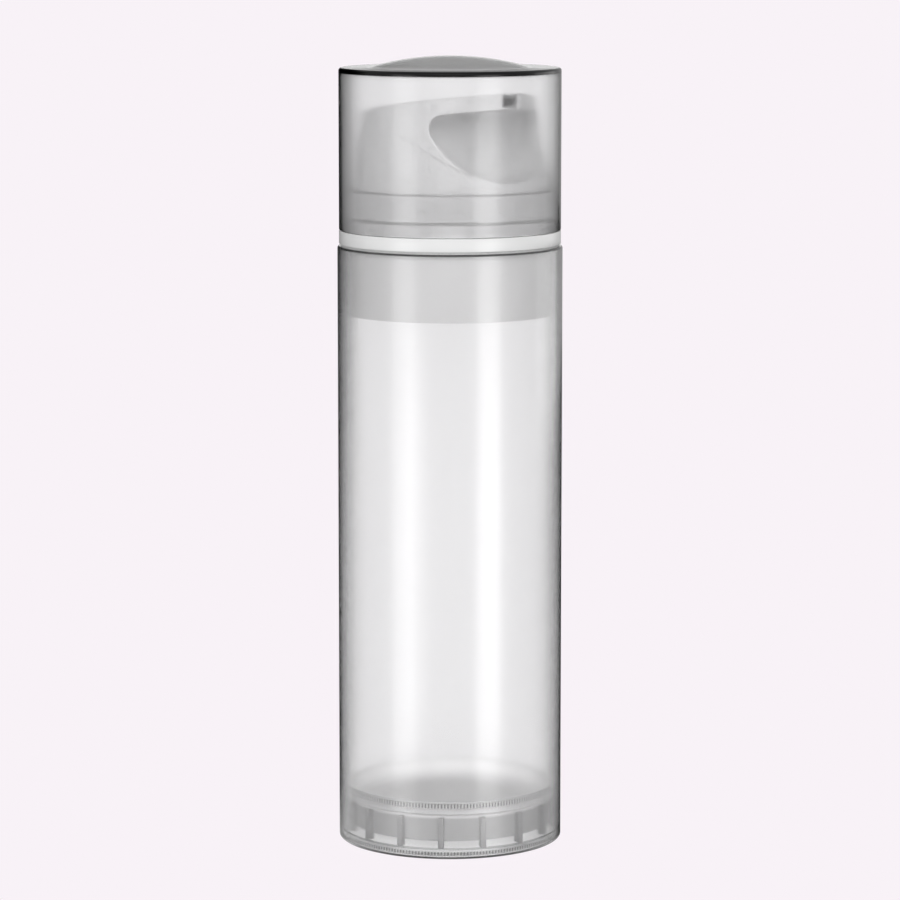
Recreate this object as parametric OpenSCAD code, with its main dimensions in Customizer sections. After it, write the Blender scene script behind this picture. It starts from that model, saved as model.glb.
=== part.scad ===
// Airless pump bottle: frosted body with a rising follower piston, a sprung dosing pump,
// a press-down head with a scooped spout, and a domed overcap that lifts off.
// Millimetres. Origin at the centre of the foot, +Z up, the spout faces -Y.

/* [Bottle body] */
// Outer diameter of the body tube
body_d = 35; // [32:0.5:42]
// Height of the body tube
body_h = 93.6; // [60:0.1:140]
// Wall of the body tube
body_wall = 1.2; // [0.9:0.05:1.6]
// Rounding of the body's outer edges
body_edge = 0.35; // [0.1:0.05:0.6]

/* [Base disc] */
// Thickness of the base disc
disc_t = 1.05; // [0.8:0.05:1.6]
// Height of the body's lip under the disc
disc_lip_h = 0.35; // [0.2:0.05:0.6]
// How far that lip stands in under the disc
disc_lip = 0.25; // [0.1:0.05:0.5]
// How far the disc's rim reaches into the groove in the bore
disc_bite = 0.15; // [0.08:0.01:0.3]
// Diameter of the vent hole
vent_d = 2.4; // [0.8:0.1:4]
// Depth of the recess in the underside
disc_recess = 0.4; // [0.2:0.05:0.6]
// Width of the flat ring outside that recess
disc_land = 3.2; // [2:0.1:5]

/* [Follower piston] */
// Height of the follower piston, from rib feet to lip
piston_h = 7.4; // [6.5:0.1:10]
// Height of the rim above the edge of its web
piston_rim_h = 2.5; // [2:0.1:3.6]
// Thickness of its web and walls
piston_wall = 0.9; // [0.6:0.05:1.3]
// Rise of the web's low dome
piston_dome = 1.1; // [0.4:0.1:1.8]
// Gap between the skirt and the bore
piston_inset = 1.2; // [0.9:0.1:1.8]
// Number of guide ribs
piston_ribs = 15; // [8:1:24]
// Thickness of a guide rib
piston_rib_t = 0.9; // [0.5:0.1:1.4]
// How far the ribs stand below the skirt
piston_rib_foot = 1; // [0.4:0.1:1.6]
// How far the piston stands turned in the body, in degrees
piston_turn = 10.3; // [0:0.1:45]

/* [Pump housing] */
// Depth of the housing below the top of the body
housing_depth = 10.5; // [9:0.1:13]
// Wall of the housing's skirt
housing_wall = 1.25; // [0.9:0.05:1.6]
// Thickness of the housing's bottom plate
plate_t = 1.1; // [0.8:0.05:1.6]
// Bore of the dosing chamber
chamber_d = 12; // [11:0.1:13.4]
// Wall of the dosing chamber
chamber_wall = 1; // [0.7:0.05:1.2]
// Height of the chamber above the top of the body
chamber_rise = 4.7; // [4.4:0.1:5]
// Diameter of the inlet hole
inlet_d = 2.2; // [1.8:0.1:2.4]
// Diameter of the inlet ball
ball_d = 3.2; // [3:0.1:3.4]
// Lift of the inlet ball
ball_lift = 0.6; // [0.4:0.1:0.7]
// Wall of the ball's cage
cage_wall = 0.8; // [0.5:0.1:0.9]

/* [Pump stem, piston and spring] */
// Stroke of the pump
stroke = 4.2; // [3:0.1:4.3]
// Travel of the stem before it takes the dosing piston along
lost_motion = 0.95; // [0.5:0.05:1.2]
// Outer diameter of the stem
stem_d = 5; // [4.6:0.1:5.4]
// Bore of the stem
stem_bore_d = 3.2; // [2.6:0.1:3.6]
// Height of the dosing piston
dose_h = 2.9; // [2.4:0.1:3.1]
// Thickness of the dosing piston's web
dose_web = 0.9; // [0.6:0.1:1.2]
// Diameter of the poppet's flange
poppet_d = 9.2; // [8.9:0.1:9.8]
// Thickness of the poppet's flange
poppet_t = 0.95; // [0.7:0.05:1.2]
// Wire of the return spring
spring_wire = 0.6; // [0.5:0.05:0.65]
// Mean diameter of the return spring
spring_d = 8; // [7.8:0.1:8.4]
// Open turns of the return spring
spring_turns = 3.5; // [2.5:0.5:3.5]

/* [Collar and retaining ring] */
// Thickness of the neck gasket
gasket_t = 0.3; // [0.2:0.05:0.6]
// Height of the collar's bare flange
flange_h = 2.1; // [1.6:0.1:3]
// How far the flange and overcap stand in from the body
flange_inset = 0.25; // [0.1:0.05:0.5]
// Height of the guide wall above the flange
guide_h = 6.5; // [6:0.1:8]
// Thickness of the guide wall
guide_wall = 0.6; // [0.5:0.05:0.9]
// Thickness of the deck inside the guide wall
deck_t = 1; // [0.7:0.05:1.3]
// Depth of the skirt that plugs into the housing
plug_h = 5; // [4:0.1:6]
// Thickness of that skirt
plug_wall = 0.95; // [0.7:0.05:1.3]
// Thickness of the retaining ring's top
ring_t = 0.8; // [0.6:0.05:0.9]
// Thickness of the retaining ring's skirt
ring_wall = 0.85; // [0.6:0.05:1.1]
// Height of the stem guide on top of the retaining ring
ring_guide_h = 1.2; // [0.8:0.1:1.5]

/* [Head] */
// Height of the head above the collar, at its middle
head_h = 13.2; // [12.8:0.1:14]
// Slope of the head's top, up towards the spout
head_slope = 7.9; // [5:0.1:9]
// How much the head narrows from foot to top
head_taper = 2.25; // [1.5:0.05:2.6]
// Depth of the head's skirt inside the guide wall
head_skirt = 1.9; // [1:0.1:1.9]
// Gap between the collar and the foot of the head's taper
head_gap = 0.3; // [0.1:0.05:0.5]
// Wall of the head
head_wall = 1; // [0.7:0.05:1.2]
// Thickness of the head's top
head_top_t = 0.8; // [0.65:0.05:1]
// Depth of the finger dish in the top
dish_depth = 0.3; // [0.1:0.05:0.4]
// How far the spout's tip stands in from the head's foot
spout_inset = 0.5; // [0.4:0.1:1.2]
// Rounding of the spout's tip, seen from above
spout_tip_r = 6; // [5:0.5:7.5]
// Thickness of the visor over the scoop
visor_t = 2.5; // [2.4:0.05:2.9]
// Radius of the bowl that forms the scoop
scoop_r = 11.8; // [11.2:0.1:12]
// Rounding between the bowl and the underside of the visor
scoop_round = 2; // [0.5:0.1:2.5]
// How far the bowl's centre stands in from the head's foot
scoop_inset = 3.3; // [2.8:0.1:3.8]
// Height of the front lip below the scoop
scoop_lip_h = 1.3; // [1:0.1:2]
// Distance of the scoop's back wall from the axis
throat_y = 5.9; // [5.5:0.1:6.5]
// Width of the outlet slot
slot_w = 2.4; // [1.8:0.1:2.6]
// Height of the outlet slot
slot_h = 1.25; // [0.9:0.05:1.3]
// Wall of the nozzle insert
nozzle_wall = 0.25; // [0.2:0.05:0.3]
// Length of the nozzle insert
nozzle_len = 7; // [5:0.1:8]
// Depth of the stem in the head's socket
socket_depth = 5.8; // [4:0.1:6]
// Wall of the socket
socket_wall = 1.05; // [0.8:0.05:1.3]

/* [Overcap] */
// Height of the overcap, without its dome
cap_h = 25.1; // [24.5:0.1:30]
// Wall of the overcap
cap_wall = 1.1; // [0.8:0.05:1.4]
// Thickness of the overcap's top
cap_top_t = 0.8; // [0.6:0.05:1.4]
// Rounding of the overcap's top edge
cap_edge = 0.5; // [0.3:0.05:1]
// Diameter of the dome's edge
dome_d = 25.2; // [18:0.1:28]
// Rise of the dome
dome_rise = 1.8; // [1:0.1:3]
// Height of the grip bead above the overcap's rim
grip_z = 2.1; // [1.2:0.1:4]
// How far the grip bead stands in from the bore
grip_bead = 0.08; // [0.04:0.01:0.1]

/* [Fits] */
// Radial play of the follower and dosing pistons
piston_play = 0.04; // [0.02:0.01:0.08]
// Radial play of the stem in its guides and of the head on the stem
stem_play = 0.05; // [0.03:0.01:0.09]
// Radial play of the head in the guide wall
head_play = 0.1; // [0.05:0.01:0.2]
// Radial gap between the overcap and the guide wall
cap_play = 0.15; // [0.13:0.01:0.3]
// Gap at pressed or snapped seats
seat = 0.03; // [0.01:0.01:0.06]

/* [Hidden] */
$fn = 96;

far = 60; // half the side of the blocks that stand for half spaces
eps = 0.01; // overlap that keeps cuts clean

// Body
body_r = body_d / 2;
bore_r = body_r - body_wall;
disc_top = disc_lip_h + disc_t;
disc_r = bore_r + disc_bite - seat;

// Follower piston
lip_r = bore_r - piston_play;
skirt_r = bore_r - piston_inset;
piston_foot = disc_top + seat;
piston_top = piston_foot + piston_h;
web_top = piston_top - piston_rim_h;
web_r = skirt_r - piston_wall;

// Housing
housing_bottom = body_h - housing_depth;
floor_z = housing_bottom + plate_t;
housing_r = bore_r - piston_play;
housing_in_r = housing_r - housing_wall;
chamber_r = chamber_d / 2;
chamber_out_r = chamber_r + chamber_wall;
chamber_top = body_h + chamber_rise;

// Inlet ball: it rests on a 45 degree seat above the inlet hole
ball_r = ball_d / 2;
inlet_r = inlet_d / 2;
seat_z = housing_bottom + plate_t / 3;
cage_r = ball_r + 0.3;
ball_z = seat_z + ball_r * sqrt(2) - inlet_r + seat;
nib_t = 0.4;
nib_r = ball_r - 0.3;
cage_top = ball_z + ball_r + ball_lift + seat + nib_t;
cage_slot = 1.2;

// Pump pieces, stacked down from the retaining ring
flange_z = body_h + gasket_t;
flange_top = flange_z + flange_h;
flange_r = body_r - flange_inset;
ring_z = chamber_top + seat;
stem_r = stem_d / 2;
stem_in_r = stem_bore_d / 2;
shoulder_t = 0.6;
shoulder_r = stem_r + 0.7;
shoulder_z = ring_z - 0.1 - shoulder_t;
dose_top = shoulder_z - lost_motion - seat;
dose_z = dose_top - dose_h;
dose_r = chamber_r - piston_play;
dose_hub_r = stem_r + 1;
poppet_z = dose_z - seat - poppet_t;
pilot_r = spring_d / 2 - spring_wire / 2 - 0.25;
pilot_h = 0.9;
spigot_h = 3.2;
spigot_rib = 0.9;
window_w = 1.4;
window_h = 1;

// Collar
deck_top = flange_top - 0.1;
deck_z = deck_top - deck_t;
guide_r = flange_r - cap_wall - cap_play;
guide_in_r = guide_r - guide_wall;
guide_top = flange_top + guide_h;
plug_r = housing_in_r - seat;
plug_bottom = flange_z - plug_h;
snap_r = 0.25; // radius of the collar's snap bead
snap_z = plug_bottom + 1.5;
hub_in_r = chamber_out_r + seat;
hub_r = hub_in_r + ring_wall;
hub_h = 2;
ring_edge = 0.5;

// Head
head_r = guide_in_r - head_play;
head_foot = guide_top + head_gap;
head_bottom = head_foot - head_gap - head_skirt;
head_top = guide_top + head_h;
head_top_r = head_r - head_taper;
dish_r = head_top_r - 1;
slope = tan(head_slope);
spout_y = head_r - spout_inset;
visor_z = head_top - visor_t / cos(head_slope);
cone_h = head_top + slope * head_top_r - head_foot;
lip_z = head_foot + scoop_lip_h;
scoop_y = head_r - scoop_inset;
scoop_z = lip_z + sqrt(pow(scoop_r, 2) - pow(head_r - 0.2 - scoop_y, 2));
stem_top = head_top - 3.7;
socket_bottom = stem_top - socket_depth;
socket_in_r = stem_r + stem_play;
socket_r = socket_in_r + socket_wall;
snap_ring_z = stem_top - 3;
snap_ring = 0.15;
slot_z = head_top - 0.43 / cos(head_slope) - nozzle_wall - slot_h / 2; // middle of the slot on the axis
nozzle_w = slot_w + 2 * nozzle_wall;
nozzle_h = slot_h + 2 * nozzle_wall;
nozzle_face = 0.3; // the insert's face stands this far back from the spout's tip
duct_w = 5.4; // ridge along the visor's underside
duct_h = 0.7;
duct_start = 2.4;

// Overcap
cap_z = flange_top + 0.05;
cap_top = cap_z + cap_h;
cap_r = flange_r;
cap_in_r = cap_r - cap_wall;
dome_r = dome_d / 2;

// Points of an arc about [cx, cy], from angle a0 to angle a1
function arc(cx, cy, r, a0, a1, n = 6) =
    [for (i = [0:n]) let (a = a0 + (a1 - a0) * i / n) [cx + r * cos(a), cy + r * sin(a)]];

// Points of a low dome, from its edge at radius r and height z to its top on the axis
function dome(r, z, rise, n = 10) =
    let (big = (r * r + rise * rise) / (2 * rise))
    [for (i = [0:n]) let (x = r * (1 - i / n)) [x, z + rise - big + sqrt(big * big - x * x)]];

// Points of a dish, from its middle out to its edge at radius r and height 0
function dish(r, depth, n = 8) = [for (i = [0:n]) [r * i / n, depth * (pow(i / n, 2) - 1)]];

function reversed(list) = [for (i = [len(list) - 1:-1:0]) list[i]];

// Revolves an outline of [radius, height] points
module turned(points) {
    rotate_extrude() polygon(points);
}

// Ring from radius r0 to r1, standing on z
module ring(r0, r1, z, h) {
    turned([[r0, z], [r1, z], [r1, z + h], [r0, z + h]]);
}

// Everything under the plane that crosses the axis at z and slopes like the head's top
module under_slope(z) {
    translate([0, 0, z])
        rotate([-head_slope, 0, 0])
            translate([-far, -far, -2 * far])
                cube(2 * far);
}

// Bar along the sloping spout, from y0 forward to y1 along the slope, with its middle crossing the axis at z
module spout_bar(z, w, h, y0, y1) {
    translate([0, 0, z])
        rotate([-head_slope, 0, 0])
            translate([-w / 2, -y1, -h / 2])
                cube([w, y1 - y0, h]);
}

// Body tube, open at both ends, with a groove and a lip that hold the base disc
module bottle_body() {
    groove_r = bore_r + disc_bite;
    color("gainsboro", 0.5)
        turned(concat(
            [[disc_r - disc_lip, 0]],
            arc(body_r - body_edge, body_edge, body_edge, -90, 0),
            arc(body_r - body_edge, body_h - body_edge, body_edge, 0, 90),
            [[bore_r, body_h],
             [bore_r, disc_top + seat + disc_bite],
             [groove_r, disc_top + seat],
             [groove_r, disc_lip_h - seat],
             [disc_r - disc_lip, disc_lip_h - seat]]));
}

// Base disc, snapped into the foot of the body, with a vent for the air behind the piston
module base_disc() {
    recess_r = disc_r - disc_land;
    color("white")
        difference() {
            turned([[0, disc_lip_h + disc_recess],
                    [recess_r - disc_recess, disc_lip_h + disc_recess],
                    [recess_r, disc_lip_h],
                    [disc_r, disc_lip_h],
                    [disc_r, disc_top - 0.2],
                    [disc_r - 0.2, disc_top],
                    [0, disc_top]]);
            translate([0, 0, disc_lip_h])
                cylinder(h = disc_t + 1, d = vent_d);
        }
}

// Follower piston: a domed web, a rim with a sealing lip, and a skirt with guide ribs
module follower_piston() {
    groove_z = web_top + 0.3;
    band_r = lip_r - 0.3;
    color("whitesmoke") {
        turned(concat(
            [[web_r, piston_foot + piston_rib_foot],
             [skirt_r, piston_foot + piston_rib_foot],
             [skirt_r, groove_z - 0.3],
             [band_r - 0.45, groove_z],
             [band_r, groove_z + 0.2],
             [band_r, piston_top - 1.2],
             [lip_r, piston_top - 0.35],
             [lip_r, piston_top],
             [lip_r - 0.3, piston_top],
             [web_r, web_top + 0.4]],
            dome(web_r - 0.6, web_top, piston_dome),
            reversed(dome(web_r - 0.6, web_top - piston_wall, piston_dome)),
            [[web_r, web_top - piston_wall - 0.4]]));
        for (i = [0:piston_ribs - 1])
            rotate([0, 0, piston_turn + 360 / piston_ribs * i])
                translate([skirt_r - 0.2, -piston_rib_t / 2, piston_foot])
                    cube([band_r - skirt_r + 0.2, piston_rib_t, groove_z - 0.5 - piston_foot]);
    }
}

// Pump housing: a plug for the body, the dosing chamber, and the seat and cage of the inlet ball
module pump_housing() {
    color("white")
        difference() {
            union() {
                ring(inlet_r, housing_r, housing_bottom, plate_t);
                ring(housing_in_r, housing_r, housing_bottom, housing_depth - 0.1);
                ring(chamber_r, chamber_out_r, floor_z - eps, chamber_top - floor_z + eps);
                turned([[inlet_r, seat_z],
                        [cage_r + cage_wall, seat_z],
                        [cage_r + cage_wall, cage_top],
                        [nib_r, cage_top],
                        [nib_r, cage_top - nib_t],
                        [cage_r, cage_top - nib_t],
                        [cage_r, seat_z + cage_r - inlet_r]]);
            }
            // Seat of the ball, cut through the plate
            turned([[0, housing_bottom - 1],
                    [inlet_r, housing_bottom - 1],
                    [inlet_r, seat_z],
                    [cage_r, seat_z + cage_r - inlet_r],
                    [0, seat_z + cage_r - inlet_r]]);
            // Windows in the cage
            for (a = [0, 90])
                rotate([0, 0, a])
                    translate([-cage_slot / 2, -cage_r - cage_wall - 1, seat_z + cage_r - inlet_r + 0.4])
                        cube([cage_slot, 2 * (cage_r + cage_wall + 1), cage_top]);
            // Groove for the collar's snap bead
            translate([0, 0, snap_z])
                rotate_extrude()
                    translate([plug_r, 0])
                        circle(r = snap_r + seat, $fn = 24);
        }
}

// Ball that closes the inlet while the pump is pressed
module inlet_ball() {
    color("silver")
        translate([0, 0, ball_z])
            sphere(r = ball_r);
}

// Return spring: one unbroken wire, wound closer in the turn at each end
module return_spring() {
    sides = 8;
    steps = 14; // rings in a turn
    end_pitch = spring_wire + 0.42;
    turns = spring_turns + 2;
    length = poppet_z - floor_z - 2 * seat;
    open_rise = length - spring_wire - 2 * end_pitch;
    rings = round(turns * steps);
    function height(t) = spring_wire / 2 + end_pitch * (min(t, 1) + max(t - turns + 1, 0))
        + open_rise * min(max((t - 1) / spring_turns, 0), 1);
    centres = [
        for (k = [0:rings])
            let (t = turns * k / rings)
            [spring_d / 2 * cos(360 * t), spring_d / 2 * sin(360 * t), floor_z + seat + height(t)]];
    points = [
        for (k = [0:rings], s = [0:sides - 1])
            let (a = 360 * turns * k / rings, b = 360 * s / sides, out = spring_wire / 2 * cos(b))
            centres[k] + [out * cos(a), out * sin(a), spring_wire / 2 * sin(b)]];
    walls = [
        for (k = [0:rings - 1], s = [0:sides - 1])
            let (p = k * sides + s, q = k * sides + (s + 1) % sides)
            each [[p, q, p + sides], [q, q + sides, p + sides]]];
    first = [for (s = [1:sides - 2]) [0, s + 1, s]];
    last = [for (s = [1:sides - 2]) [rings * sides, rings * sides + s, rings * sides + s + 1]];
    echo(least_gap = min([
        for (i = [0:rings - steps / 2])
            for (j = [i + steps / 2:rings])
                norm(centres[i] - centres[j])]) - spring_wire);
    color("silver")
        polyhedron(points = points, faces = concat(walls, first, last), convexity = 10);
}

// Poppet: spring seat, sealing flange, and a crossed spigot that is pressed into the stem
module poppet() {
    color("white") {
        turned([[0, poppet_z - pilot_h],
                [pilot_r - 0.4, poppet_z - pilot_h],
                [pilot_r, poppet_z - pilot_h + 0.4],
                [pilot_r, poppet_z],
                [poppet_d / 2, poppet_z],
                [poppet_d / 2, poppet_z + poppet_t - 0.3],
                [poppet_d / 2 - 0.3, poppet_z + poppet_t],
                [0, poppet_z + poppet_t]]);
        intersection() {
            translate([0, 0, poppet_z + poppet_t - eps])
                cylinder(h = spigot_h, r = stem_in_r - seat);
            for (a = [0, 90])
                rotate([0, 0, a])
                    translate([-far, -spigot_rib / 2, poppet_z])
                        cube([2 * far, spigot_rib, poppet_t + spigot_h + 1]);
        }
    }
}

// Dosing piston, which slides on the stem and wipes the chamber with two lips
module pump_piston() {
    web_z = dose_z + dose_h / 2 - dose_web / 2;
    lip = 0.35;
    skin = dose_r - 0.8;
    color("whitesmoke")
        turned([[stem_r + stem_play, dose_z],
                [dose_hub_r, dose_z],
                [dose_hub_r, web_z],
                [skin, web_z],
                [dose_r - lip, dose_z],
                [dose_r, dose_z],
                [dose_r, dose_z + lip],
                [dose_r - lip, dose_z + 2 * lip],
                [dose_r - lip, dose_top - 2 * lip],
                [dose_r, dose_top - lip],
                [dose_r, dose_top],
                [dose_r - lip, dose_top],
                [skin, web_z + dose_web],
                [dose_hub_r, web_z + dose_web],
                [dose_hub_r, dose_top],
                [stem_r + stem_play, dose_top]]);
}

// Hollow stem, from the poppet up into the head
module stem() {
    stem_z = poppet_z + poppet_t;
    color("white")
        difference() {
            turned([[stem_in_r, stem_z],
                    [stem_r, stem_z],
                    [stem_r, shoulder_z],
                    [shoulder_r, shoulder_z],
                    [shoulder_r, shoulder_z + shoulder_t],
                    [stem_r, shoulder_z + shoulder_t],
                    [stem_r, snap_ring_z - snap_ring],
                    [stem_r + snap_ring, snap_ring_z],
                    [stem_r, snap_ring_z + snap_ring],
                    [stem_r, stem_top - 0.4],
                    [stem_r - 0.3, stem_top],
                    [stem_in_r, stem_top]]);
            // Inlet windows, covered by the dosing piston at rest
            for (a = [0, 90])
                rotate([0, 0, a])
                    translate([-window_w / 2, -far, stem_z - 1])
                        cube([window_w, 2 * far, 1 + window_h]);
        }
}

// Retaining ring, snapped on the chamber, which stops the stem and guides it
module retaining_ring() {
    color("white")
        turned([[hub_in_r, deck_top + seat],
                [hub_r, deck_top + seat],
                [hub_r, ring_z + ring_t - ring_edge],
                [hub_r - ring_edge, ring_z + ring_t],
                [stem_r + stem_play + 0.9, ring_z + ring_t],
                [stem_r + stem_play + 0.7, ring_z + ring_t + ring_guide_h],
                [stem_r + stem_play, ring_z + ring_t + ring_guide_h],
                [stem_r + stem_play, ring_z],
                [hub_in_r, ring_z]]);
}

// Flat gasket between the collar's flange and the top of the body
module neck_gasket() {
    color("lightgray")
        ring(housing_in_r + 0.2, flange_r - 0.25, body_h, gasket_t);
}

// Collar: the bare flange, the guide wall for the head, the deck, and the skirt that plugs into the housing
module collar() {
    edge = 0.15;
    color("white") {
        turned([[hub_in_r, deck_z],
                [plug_r - plug_wall, deck_z],
                [plug_r - plug_wall, plug_bottom],
                [plug_r - 0.3, plug_bottom],
                [plug_r, plug_bottom + 0.5],
                [plug_r, flange_z],
                [flange_r - edge, flange_z],
                [flange_r, flange_z + edge],
                [flange_r, flange_top - edge],
                [flange_r - edge, flange_top],
                [guide_r, flange_top],
                [guide_r, guide_top - edge],
                [guide_r - edge, guide_top],
                [guide_in_r + edge, guide_top],
                [guide_in_r, guide_top - edge],
                [guide_in_r, deck_top],
                [hub_in_r, deck_top]]);
        ring(hub_in_r, hub_r, deck_z - hub_h, hub_h + eps);
        translate([0, 0, snap_z])
            rotate_extrude()
                translate([plug_r, 0])
                    intersection() {
                        circle(r = snap_r, $fn = 24);
                        translate([-0.5, -1])
                            square([1, 2]);
                    }
    }
}

// Outline of the spout's beak from above: the head's round and a smaller tip, joined by their tangents
module beak_outline() {
    tip_y = spout_y - spout_tip_r;
    lean = asin((head_top_r - spout_tip_r) / tip_y);
    side = [cos(lean), -sin(lean)];
    circle(r = head_top_r);
    translate([0, -tip_y])
        circle(r = spout_tip_r);
    polygon([[-head_top_r * side[0], head_top_r * side[1]],
             [-spout_tip_r * side[0], spout_tip_r * side[1] - tip_y],
             [spout_tip_r * side[0], spout_tip_r * side[1] - tip_y],
             [head_top_r * side[0], head_top_r * side[1]]]);
}

// Outer form of the head: skirt, taper and beak, cut off along the sloping top
module head_form() {
    intersection() {
        union() {
            translate([0, 0, head_bottom])
                cylinder(h = head_foot - head_bottom, r = head_r);
            translate([0, 0, head_foot - eps])
                cylinder(h = cone_h + eps, r1 = head_r, r2 = head_top_r);
            translate([0, 0, visor_z - 1])
                linear_extrude(height = cone_h)
                    beak_outline();
        }
        under_slope(head_top);
    }
}

// Hollow inside the head
module head_hollow() {
    intersection() {
        union() {
            translate([0, 0, head_bottom - 1])
                cylinder(h = head_foot - head_bottom + 1, r = head_r - head_wall);
            translate([0, 0, head_foot - eps])
                cylinder(h = cone_h + eps, r1 = head_r - head_wall, r2 = head_top_r - head_wall);
        }
        under_slope(head_top - head_top_t / cos(head_slope));
    }
}

// Bowl of the scoop, or with a wall added all round, the block that it is cut into
module scoop(wall = 0) {
    ball_r = scoop_r + wall;
    round_r = scoop_round + wall;
    roof = (visor_z + slope * scoop_y - scoop_z) * cos(head_slope) + wall; // from the bowl's centre to the visor
    round_x = sqrt(pow(ball_r - round_r, 2) - pow(roof - round_r, 2));
    side = atan2(roof - round_r, round_x);
    intersection() {
        translate([0, -scoop_y, scoop_z])
            sphere(r = ball_r);
        translate([-far, -2 * far - throat_y + wall, 0])
            cube([2 * far, 2 * far, 4 * far]);
        translate([0, -scoop_y, scoop_z])
            rotate([-head_slope, 0, 0])
                turned(concat(
                    [[0, -far],
                     [far, -far],
                     [ball_r * (cos(side) + sin(side)), ball_r * (sin(side) - cos(side))]],
                    arc(round_x, roof - round_r, round_r, side, 90),
                    [[0, roof]]));
    }
}

// Press-down head with its stem socket, the scoop and the visor that carries the outlet
module actuator() {
    color("white")
        difference() {
            union() {
                difference() {
                    union() {
                        difference() {
                            head_form();
                            head_hollow();
                        }
                        intersection() {
                            head_form();
                            union() {
                                scoop(head_wall);
                                translate([-far, -2 * far - throat_y + head_wall, visor_z])
                                    cube([2 * far, 2 * far, far]);
                            }
                        }
                        intersection() {
                            translate([0, 0, socket_bottom])
                                cylinder(h = far, r = socket_r);
                            under_slope(head_top - head_top_t / 2);
                        }
                    }
                    scoop();
                }
                // Ridge under the visor, round the outlet
                intersection() {
                    head_form();
                    spout_bar(visor_z, duct_w, 2 * duct_h, 0, spout_y - duct_start);
                }
            }
            // Socket for the stem, with a groove for its snap ring
            turned([[0, socket_bottom - 1],
                    [socket_in_r, socket_bottom - 1],
                    [socket_in_r, snap_ring_z - snap_ring],
                    [socket_in_r + snap_ring, snap_ring_z],
                    [socket_in_r, snap_ring_z + snap_ring],
                    [socket_in_r, stem_top + seat],
                    [0, stem_top + seat]]);
            // Way from the stem to the nozzle insert
            translate([0, 0, stem_top])
                cylinder(h = slot_z - stem_top, r = slot_w / 2);
            spout_bar(slot_z, slot_w, slot_h, 0, spout_y);
            spout_bar(slot_z, nozzle_w + 2 * seat, nozzle_h + 2 * seat,
                      spout_y - nozzle_face - nozzle_len - seat, spout_y + 5);
            // Finger dish in the top
            translate([0, 0, head_top])
                rotate([-head_slope, 0, 0])
                    turned(concat(dish(dish_r, dish_depth), [[dish_r, 1], [0, 1]]));
        }
}

// Nozzle insert, pushed into the spout from the front
module nozzle_insert() {
    y0 = spout_y - nozzle_face - nozzle_len;
    y1 = spout_y - nozzle_face;
    color("white")
        difference() {
            spout_bar(slot_z, nozzle_w, nozzle_h, y0, y1);
            spout_bar(slot_z, slot_w, slot_h, y0 - 1, y1 + 1);
        }
}

// Overcap: a plain cup with a low dome on top and a grip bead inside its rim
module overcap() {
    color("gainsboro", 0.5)
        turned(concat(
            [[cap_in_r, cap_z + 0.2],
             [cap_in_r + 0.2, cap_z],
             [cap_r - 0.2, cap_z],
             [cap_r, cap_z + 0.2]],
            arc(cap_r - cap_edge, cap_top - cap_edge, cap_edge, 0, 90),
            dome(dome_r, cap_top, dome_rise),
            reversed(dome(dome_r, cap_top - cap_top_t, dome_rise)),
            [[cap_in_r - 0.2, cap_top - cap_top_t],
             [cap_in_r, cap_top - cap_top_t - 0.2],
             [cap_in_r, cap_z + grip_z + 0.4],
             [cap_in_r - grip_bead, cap_z + grip_z + 0.1],
             [cap_in_r - grip_bead, cap_z + grip_z - 0.1],
             [cap_in_r, cap_z + grip_z - 0.4]]));
}

bottle_body();
base_disc();
follower_piston();
pump_housing();
inlet_ball();
return_spring();
poppet();
pump_piston();
stem();
retaining_ring();
neck_gasket();
collar();
actuator();
nozzle_insert();
overcap();
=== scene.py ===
import math

import bmesh
import bpy
from mathutils import Matrix, Vector


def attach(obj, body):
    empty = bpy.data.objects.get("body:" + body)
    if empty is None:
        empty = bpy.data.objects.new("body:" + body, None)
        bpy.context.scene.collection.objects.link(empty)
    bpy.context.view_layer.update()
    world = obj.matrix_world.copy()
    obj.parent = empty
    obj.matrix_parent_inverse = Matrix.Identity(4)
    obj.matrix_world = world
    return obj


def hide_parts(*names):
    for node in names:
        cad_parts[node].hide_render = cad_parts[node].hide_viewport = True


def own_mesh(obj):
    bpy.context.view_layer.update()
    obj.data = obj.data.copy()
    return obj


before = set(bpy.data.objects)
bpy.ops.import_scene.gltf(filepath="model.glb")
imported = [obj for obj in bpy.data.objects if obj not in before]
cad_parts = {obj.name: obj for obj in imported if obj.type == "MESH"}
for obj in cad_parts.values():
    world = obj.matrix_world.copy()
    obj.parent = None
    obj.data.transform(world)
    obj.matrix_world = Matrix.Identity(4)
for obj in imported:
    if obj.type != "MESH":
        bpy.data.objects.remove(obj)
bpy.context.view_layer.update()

# Camera. It looks a little down on the bottle from in front, to the left of the spout,
# from far enough away that the walls hardly converge.
camera_turn = math.radians(-38.6)
camera_pitch = math.radians(8.0821)
camera_reach = 0.59747
camera_height = 0.1462546
camera_data = bpy.data.cameras.new("camera")
camera_data.sensor_width = 36
camera_data.lens = 154.07
camera_data.clip_start = 0.01
camera_data.clip_end = 20
camera = bpy.data.objects.new("camera", camera_data)
camera.location = (camera_reach * math.sin(camera_turn), -camera_reach * math.cos(camera_turn),
                   camera_height)
camera.rotation_euler = (math.radians(90) - camera_pitch, 0, camera_turn)
bpy.context.scene.collection.objects.link(camera)
bpy.context.scene.camera = camera
bpy.context.scene.view_settings.view_transform = "Standard"


# Body tube. Frosted polypropylene, moulded open at both ends, with a groove inside its foot that
# holds the base disc. Its wall is drawn once and turned about the axis; sizes are in millimetres.
MM = 0.001
tube_r = 17.5
tube_h = 93.6
bore_r = 16.3
groove_r = 16.45
groove_z = [0.32, 1.43, 1.58]
foot_lip_r = 16.17
tube_round = 0.35
bore_round = 0.15
# Heights of the painted shade line at the foot and the painted shadow line under the flange.
foot_shade_line = [0.26, 0.12]
rim_shadow_line = [tube_h - 0.38, tube_h - 0.22]
sharp_edge = 35
moulded_ior = 1.49


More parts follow.
